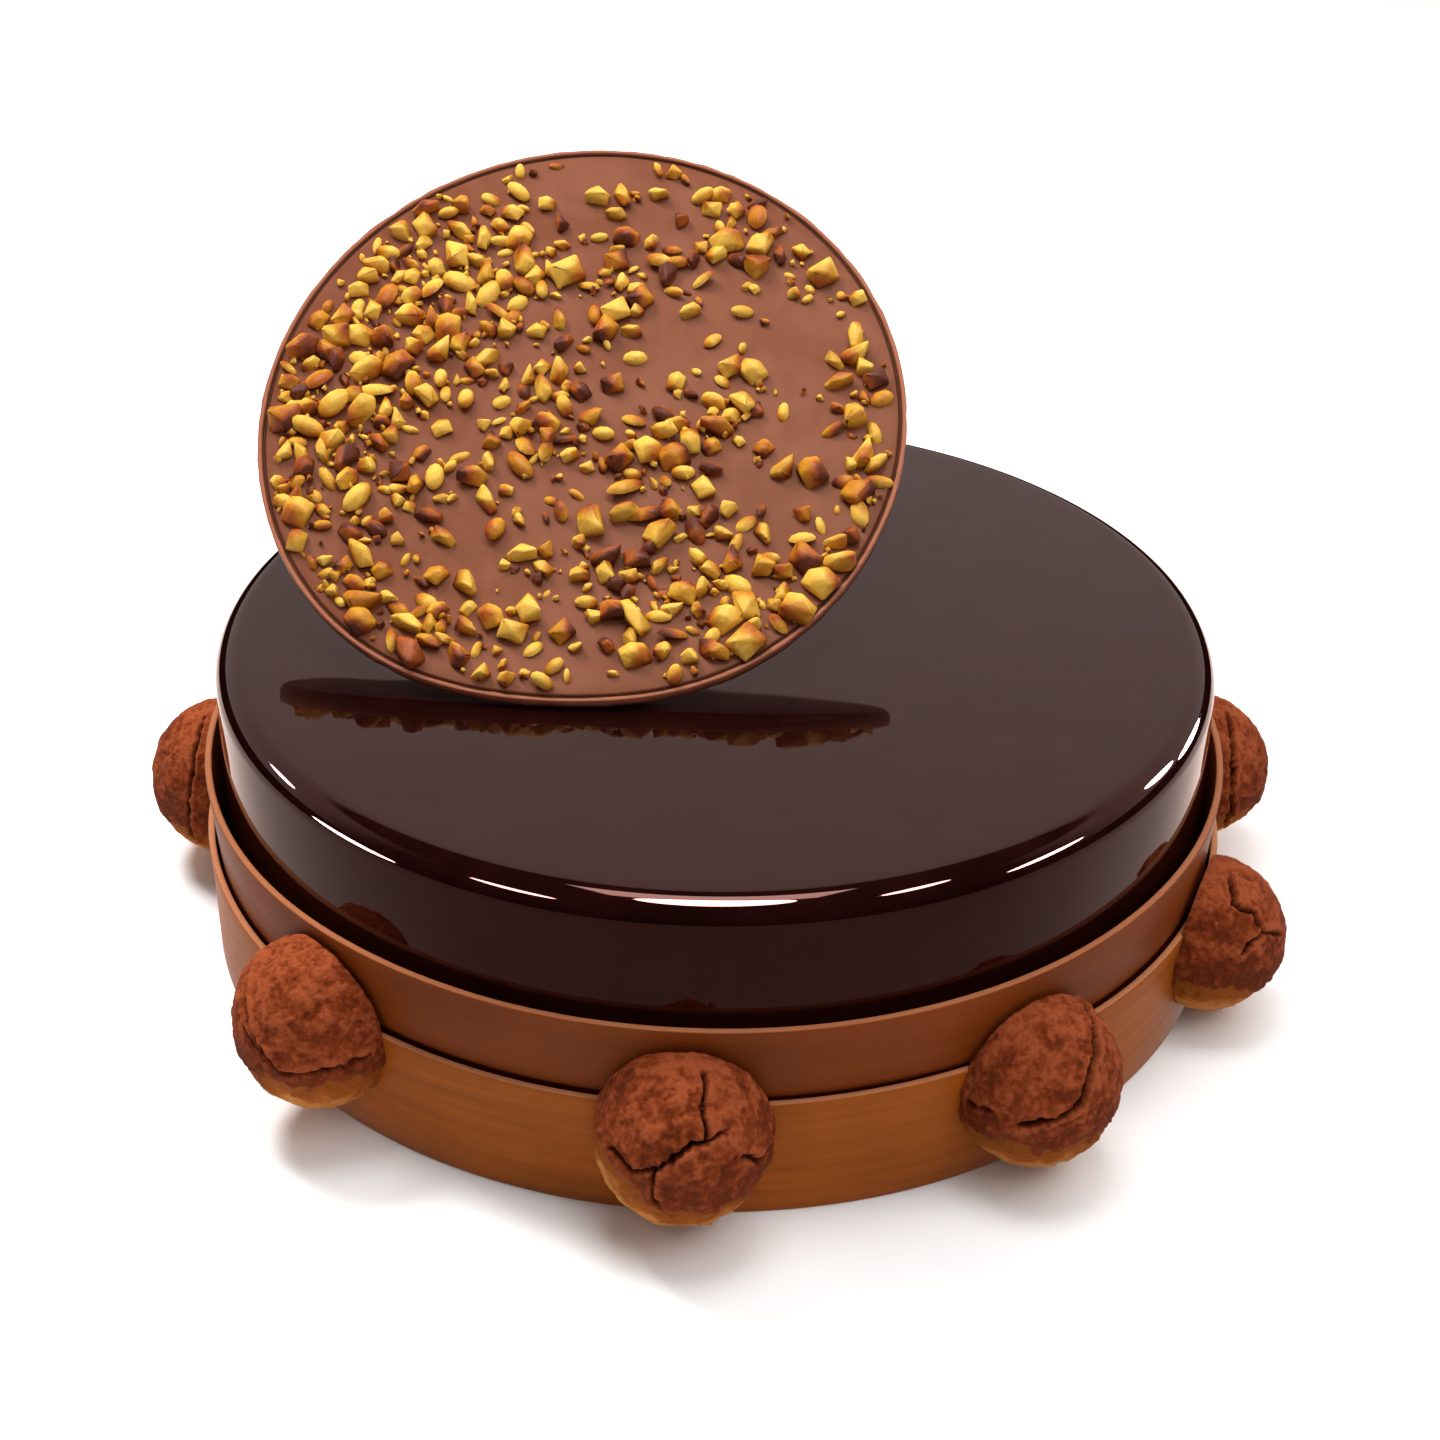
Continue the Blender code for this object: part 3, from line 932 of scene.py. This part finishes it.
def build_rest(sizes):
    """The ball under the disc that holds it up."""
    low, high = REST_BOX
    radius = (high.x - low.x) / 2 - CRUST_ROOM
    rng = random.Random("hidden_rest")
    cracks = wandering_cracks(rng, 3)
    rest = build_crust("crust_hidden_rest", (radius,) * 3, cracks, USUAL_BORDER, sizes)
    rest.matrix_world = Matrix.Translation((low + high) / 2)
    settle()
    smooth(rest, 60)
    hand_over(rest, bpy.data.materials["cocoa_crust"], "cocoa_crust", "hidden_rest")


def disc_pose(sizes):
    """Turns and leans the disc; its height comes from where the solid one stands."""
    lean = Matrix.Rotation(sizes.lean, 4, "X")
    turn = Matrix.Rotation(-sizes.turn, 4, "Z")
    return Matrix.Translation((sizes.across, sizes.back, 0)) @ turn @ lean


def flatten_foot(piece, sizes):
    """Draws the disc's foot in, as where it was cut a little short."""
    for vertex in piece.data.vertices:
        across = vertex.co.x / sizes.half_width
        up = vertex.co.y / sizes.half_length
        from_foot = math.degrees(math.atan2(across, -up))
        drawn_in = 1 - sizes.flat_foot * math.exp(-((from_foot / 28.0) ** 2))
        vertex.co.x *= drawn_in
        vertex.co.y *= drawn_in


def build_plate(sizes):
    """The chocolate disc lying flat: a lip, a groove inside it, and the smooth face."""
    bpy.ops.mesh.primitive_cylinder_add(vertices=180, radius=1, depth=sizes.thickness)
    plate = new_piece("disc_plate")
    half = sizes.thickness / 2
    with edit_mode(plate):
        stretch((sizes.half_width, sizes.half_length, 1))
        steps = (
            (sizes.lip, 0.0), (0.0003, -0.0008), (0.0005, 0.0), (0.0004, 0.0005), (0.003, 0.0),
            (0.02, 0.0), (0.02, 0.0), (0.02, 0.0),
        )
        for inward, rise in steps:
            pick_faces(plate, lambda middle, normal: normal.z > 0.9 and middle.xy.length < 0.03)
            bpy.ops.mesh.inset(thickness=inward)
            bpy.ops.transform.translate(value=(0, 0, rise))
        pick_edges(plate, lambda point: point.z < -half + 1e-6)
        bpy.ops.mesh.bevel(offset=0.0021, segments=5, affect="EDGES")
    outside = [
        np.hypot(x / sizes.half_width, y / sizes.half_length) > 0.985 for x, y, z in points_of(plate)
    ]
    weigh(plate, "rim", outside)
    rough_rim = bpy.data.textures.new("rough_rim", "CLOUDS")
    rough_rim.noise_scale = 0.004
    rough_rim.noise_depth = 2
    finish_with(
        plate, "DISPLACE", vertex_group="rim", texture=rough_rim, texture_coords="LOCAL",
        direction="NORMAL", strength=0.0007, mid_level=0.5,
    )
    soften(plate, 0.0003, 2, 35)
    plate.vertex_groups.clear()
    lip, groove = [], []
    for x, y, z in points_of(plate):
        out = math.hypot(x / sizes.half_width, y / sizes.half_length)
        # lip marks the top of the rim, which the material paints paler as a highlight.
        lip.append(out > 0.982 and z > half - 0.0004)
        # The groove mark paints shade into the groove and, more lightly, onto the side wall.
        in_groove = 0.95 < out < 0.991 and z < half - 0.0005
        on_wall = out >= 0.991 and not lip[-1]
        groove.append(0.9 * in_groove or 0.5 * on_wall)
    flatten_foot(plate, sizes)
    mark(plate, "rim", lip)
    mark(plate, "groove", groove)
    smooth(plate, 50)
    return plate


def crowding(across, up):
    """How likely a nut is to lie here."""

    def nearness(x, y, spread):
        return math.exp(-((across - x) ** 2 + (up - y) ** 2) / spread**2)

    amount = 0.10
    for *heap, strength in CROWDS:
        amount += 0.6 * strength * nearness(*heap)
    for place in BARE:
        amount *= 1 - 0.95 * nearness(*place)
    return min(amount, 1.0)


def landings(rng, disc, reach, gathering=1.0):
    """Where nuts land on the disc, one after another. Gathering draws them to the heaps."""
    while True:
        across, up = rng.uniform(-reach, reach), rng.uniform(-reach, reach)
        inside = math.hypot(across, up) <= reach
        if inside and rng.random() <= crowding(across, up) ** gathering:
            yield across * disc.half_width, up * disc.half_length


def nut_places(count, largest, smallest, rng, disc, taken):
    """Where this many nuts fall between those already there: size, across and up."""
    places = []
    for x, y in landings(rng, disc, NUT_REACH):
        left = 1 - len(places) / count
        size = smallest + (largest - smallest) * left**1.4
        if all(math.hypot(x - a, y - b) > NUT_SPACING * (size + s) for s, a, b in taken + places):
            places.append((size, x, y))
        if len(places) == count:
            return places


def chopped_nut(name, shape, cuts):
    """A block of nut with its corners chopped off and its edges softened."""
    bpy.ops.mesh.primitive_cube_add(size=1)
    nut = new_piece(name)
    with edit_mode(nut):
        for offset, slope in cuts:
            slope = Vector(slope).normalized()
            slice_through(offset * slope * 1.15, slope, use_fill=True, clear_outer=True)
        bpy.ops.mesh.select_all(action="SELECT")
        bpy.ops.mesh.bevel(offset=0.11, segments=2, affect="EDGES")
        stretch((1, *shape))
    smooth(nut, 50)
    return nut


def nut_kernel(name, width, height, cut):
    """A small kernel, whole or split along its length."""
    bpy.ops.mesh.primitive_ico_sphere_add(subdivisions=2, radius=0.5)
    nut = new_piece(name)
    with edit_mode(nut):
        slice_through((0, 0, cut), (0, 0.35, -1), use_fill=True, clear_outer=True)
        stretch((1, width, height))
    smooth(nut, 50)
    return nut


def strew(shape, size, x, y, height, rng, tilt=0.35, sunk=0.15):
    """A copy of a nut lying on the disc, with its own roast. It covers as much as its size says."""
    piece = shape.copy()
    piece.data = shape.data.copy()
    bpy.context.scene.collection.objects.link(piece)
    roast = rng.choice(ROASTS)
    turn = rng.uniform(0, math.tau)
    side = Vector((rng.uniform(-1, 1), rng.uniform(-1, 1), rng.uniform(-0.6, 0.6))).normalized()
    points = points_of(piece)
    mark(piece, "roast", roast + 0.62 * np.clip(points @ np.array(side) * 2.0 - 0.15, -0.2, 1))
    size *= 0.98 / math.sqrt(piece.dimensions.y)
    turned = Euler((rng.uniform(-tilt, tilt), rng.uniform(-tilt, tilt), turn))
    scaled = Matrix.Diagonal((size, size * rng.uniform(0.85, 1.1), size * rng.uniform(0.85, 1.1), 1))
    piece.data.transform(turned.to_matrix().to_4x4() @ scaled)
    points = points_of(piece)
    low, high = points[:, 2].min(), points[:, 2].max()
    piece.data.transform(Matrix.Translation((x, y, height - low - sunk * (high - low))))
    return piece


def join(pieces, name):
    select_only(pieces[0])
    for piece in pieces:
        piece.select_set(True)
    bpy.ops.object.join()
    pieces[0].name = pieces[0].data.name = name
    return pieces[0]


def build_nuts(sizes, disc):
    """All chopped nuts and crumbs on the disc lying flat, one piece for each kind."""
    named = {name: chopped_nut(name, *how) for name, how in CHOPPED.items()}
    named.update({name: nut_kernel(name, *how) for name, how in KERNELS.items()})
    shapes = list(named.values())
    face = disc.thickness / 2 - 0.0003
    rng = random.Random(sizes.seed)
    places = nut_places(sizes.nuts, sizes.largest, sizes.smallest, rng, disc, [])
    bits = nut_places(sizes.bits, sizes.largest_bit, sizes.smallest_bit, rng, disc, places)
    kinds = [named[name] for name in rng.choices(list(COMMON), COMMON.values(), k=len(places))]
    nuts = [
        strew(kind, *place, face, rng, tilt=0.25, sunk=0.12) for kind, place in zip(kinds, places)
    ]
    nuts += [strew(rng.choice(shapes), *place, face, rng) for place in bits]
    crumbs = []
    for _, (x, y) in zip(range(sizes.crumbs), landings(rng, disc, CRUMB_REACH, 1.3)):
        size = rng.uniform(0.0007, 0.0019)
        crumbs.append(strew(rng.choice(shapes[:3]), size, x, y, face, rng, tilt=1.0, sunk=0.1))
    for shape in shapes:
        bpy.data.objects.remove(shape)
    return join(nuts, "chopped_nuts"), join(crumbs, "nut_crumbs")


def build_disc(sizes, nut_sizes, finishes):
    """The disc with its nuts, leaning in place on the cake."""
    plate = build_plate(sizes)
    nuts, crumbs = build_nuts(nut_sizes, sizes)
    for piece in (nuts, crumbs):
        flatten_foot(piece, sizes)
    pose = disc_pose(sizes)
    for piece in (plate, nuts, crumbs):
        piece.data.transform(pose)
    rise = Matrix.Translation((0, 0, DISC_LOWEST - points_of(plate)[:, 2].min()))
    for piece in (plate, nuts, crumbs):
        piece.data.transform(rise)
    roasted = roasted_nut(finishes)
    hand_over(plate, disc_chocolate(finishes), "nut_disc", "nut_disc")
    hand_over(nuts, roasted, "nut_disc", "nut_disc")
    hand_over(crumbs, roasted, "nut_disc", "nut_disc")


def softbox(name, turn, azimuth, elevation, size, power):
    """A studio lamp behind a white cloth, aimed at the glaze's edge at this turn.

    The lamp's azimuth is 0 behind the cake and 90 to its right.
    """
    turn, azimuth, elevation = (math.radians(value) for value in (turn, azimuth, elevation))
    radius, height = GLAZE_EDGE
    edge = Vector((radius * math.sin(turn), -radius * math.cos(turn), height))
    towards = Vector((math.sin(azimuth), math.cos(azimuth), math.tan(elevation))).normalized()
    turned = towards.to_track_quat("Z", "Y").to_euler()
    place = edge + LAMP_DISTANCE * towards
    bpy.ops.object.light_add(type="AREA", location=place, rotation=turned)
    lamp = bpy.context.object
    lamp.name = lamp.data.name = name
    lamp.data.shape = "RECTANGLE"
    lamp.data.size, lamp.data.size_y = size
    lamp.data.energy = power
    lamp.visible_camera = False
    return lamp


def build_backdrop(settings):
    """A warm white wall behind the cake and a table all round it, under a dark ceiling."""
    world = bpy.data.worlds.new("studio")
    bpy.context.scene.world = world
    finish = Finish(world)
    direction = finish.put("TexCoord").outputs["Generated"]
    parts = finish.put("SeparateXYZ", None, {0: direction})
    up, back = Value(finish, parts.outputs["Z"]), Value(finish, parts.outputs["Y"])
    above = up.between(-0.03, 0.03)
    wall = back.between(-0.28, 0.22) * above * (1 - up.between(0.70, 0.75))
    table = (1 - above) * (0.55 + 0.45 * back.between(-0.5, 0.5) + 1.6 * back.between(0.35, 0.95))
    brightness = settings.ceiling + settings.backdrop * (wall + table)
    shade = finish.blend(above, (1.0, 0.80, 0.72), (1.0, 0.90, 0.86))
    light = finish.put("Background", None, {"Color": shade, "Strength": brightness})
    finish.put("OutputWorld", None, {"Surface": light.outputs[0]})


def build_floor(settings):
    bpy.ops.mesh.primitive_plane_add(size=settings.floor_size)
    floor = new_piece("studio_floor")
    finish = Finish(bpy.data.materials.new("white_floor"))
    paper = finish.grain(0.3, detail=2.0)
    white = finish.blend(paper, (0.93, 0.93, 0.93), (0.95, 0.95, 0.95))
    floor.data.materials.append(finish.surface(Base_Color=white, Roughness=0.9))
    floor.visible_glossy = False


def build_screen():
    """A low black screen round the table, which only the glaze mirrors."""
    bpy.ops.mesh.primitive_cylinder_add(
        vertices=96, radius=2.0, depth=0.74, end_fill_type="NOTHING", location=(0, 0, 0.05)
    )
    screen = new_piece("black_screen")
    finish = Finish(bpy.data.materials.new("black_cloth"))
    weave = finish.grain(0.004, detail=2.0)
    cloth = finish.blend(weave, (0.002, 0.002, 0.002), (0.004, 0.004, 0.004))
    screen.data.materials.append(
        finish.surface(Base_Color=cloth, Roughness=1.0, Specular_IOR_Level=0.0)
    )
    screen.visible_camera = False
    screen.visible_diffuse = False
    screen.visible_shadow = False


def build_camera(settings):
    bpy.ops.object.camera_add(location=settings.camera_place)
    camera = bpy.context.object
    camera.name = "studio_camera"
    camera.data.lens = settings.lens
    camera.data.sensor_width = 36.0
    pan = Matrix.Rotation(-settings.pan, 4, "Z")
    tilt = Matrix.Rotation(math.radians(90) - settings.tilt, 4, "X")
    roll = Matrix.Rotation(settings.roll, 4, "Z")
    camera.rotation_euler = (pan @ tilt @ roll).to_euler()
    bpy.context.scene.camera = camera


def build_studio(settings):
    """Floor, backdrop, lamps and camera."""
    bpy.context.scene.view_settings.view_transform = "Standard"
    build_floor(settings)
    build_screen()
    build_backdrop(settings)
    for name, azimuth, elevation, size, power, mirrored in SOFT_LAMPS:
        softbox(name, 0, azimuth, elevation, size, power).visible_glossy = mirrored
    mirrors = bpy.data.collections.new("mirrors")
    mirrors.objects.link(bpy.data.objects["glaze"])
    for turn, azimuth, elevation, size in GLINTS:
        power = GLINT_POWER * math.pi * size[0] * size[1]
        glint = softbox("glint", turn, azimuth, elevation, size, power)
        glint.data.shape = "ELLIPSE"
        glint.light_linking.receiver_collection = mirrors
    build_camera(settings)


class TORTE_OT_glaze(bpy.types.Operator):
    """Build the cake under its mirror glaze"""

    bl_idname = "torte.glaze"
    bl_label = "Glazed cake"

    def execute(self, context):
        settings = context.scene.torte
        build_cake(settings.cake, settings.finishes)
        return {"FINISHED"}


class TORTE_OT_strips(bpy.types.Operator):
    """Build the two chocolate strips round the cake"""

    bl_idname = "torte.strips"
    bl_label = "Chocolate strips"

    def execute(self, context):
        settings = context.scene.torte
        build_strips(settings.strips, settings.finishes)
        return {"FINISHED"}


class TORTE_OT_domes(bpy.types.Operator):
    """Build the cocoa-dusted domes on the lower strip"""

    bl_idname = "torte.domes"
    bl_label = "Cocoa domes"

    def execute(self, context):
        settings = context.scene.torte
        build_domes(settings.domes, settings.finishes, settings.strips.low_radius)
        return {"FINISHED"}


class TORTE_OT_rest(bpy.types.Operator):
    """Build the ball that holds up the disc, after the domes"""

    bl_idname = "torte.rest"
    bl_label = "Rest under the disc"

    def execute(self, context):
        build_rest(context.scene.torte.domes)
        return {"FINISHED"}


class TORTE_OT_disc(bpy.types.Operator):
    """Build the chocolate disc with its chopped nuts"""

    bl_idname = "torte.disc"
    bl_label = "Nut disc"

    def execute(self, context):
        settings = context.scene.torte
        build_disc(settings.disc, settings.nuts, settings.finishes)
        return {"FINISHED"}


class TORTE_OT_studio(bpy.types.Operator):
    """Build the floor, the light and the camera"""

    bl_idname = "torte.studio"
    bl_label = "Studio"

    def execute(self, context):
        build_studio(context.scene.torte.studio)
        return {"FINISHED"}


OPERATORS = (
    TORTE_OT_glaze, TORTE_OT_strips, TORTE_OT_domes, TORTE_OT_rest, TORTE_OT_disc,
    TORTE_OT_studio,
)


class TORTE_PT_panel(bpy.types.Panel):
    """Lists the torte's pieces, each with its button and settings"""

    bl_idname = "TORTE_PT_panel"
    bl_label = "Chocolate torte"
    bl_space_type = "VIEW_3D"
    bl_region_type = "UI"
    bl_category = "Torte"

    def draw(self, context):
        for operator in OPERATORS:
            self.layout.operator(operator.bl_idname)
        settings = context.scene.torte
        for name in ("cake", "strips", "domes", "disc", "nuts", "finishes", "studio"):
            group = getattr(settings, name)
            box = self.layout.box()
            box.label(text=name.title())
            for field in group.__annotations__:
                box.prop(group, field)


CLASSES = (
    CakeSizes, StripSizes, DomeSizes, DiscSizes, NutSizes, Finishes, StudioSettings,
    TorteSettings, *OPERATORS, TORTE_PT_panel,
)


def register():
    for cls in CLASSES:
        bpy.utils.register_class(cls)
    bpy.types.Scene.torte = PointerProperty(type=TorteSettings)


def unregister():
    del bpy.types.Scene.torte
    for cls in reversed(CLASSES):
        bpy.utils.unregister_class(cls)


def main():
    register()
    bpy.ops.torte.glaze()
    bpy.ops.torte.strips()
    bpy.ops.torte.domes()
    bpy.ops.torte.rest()
    bpy.ops.torte.disc()
    bpy.ops.torte.studio()


if __name__ == "__main__":
    main()
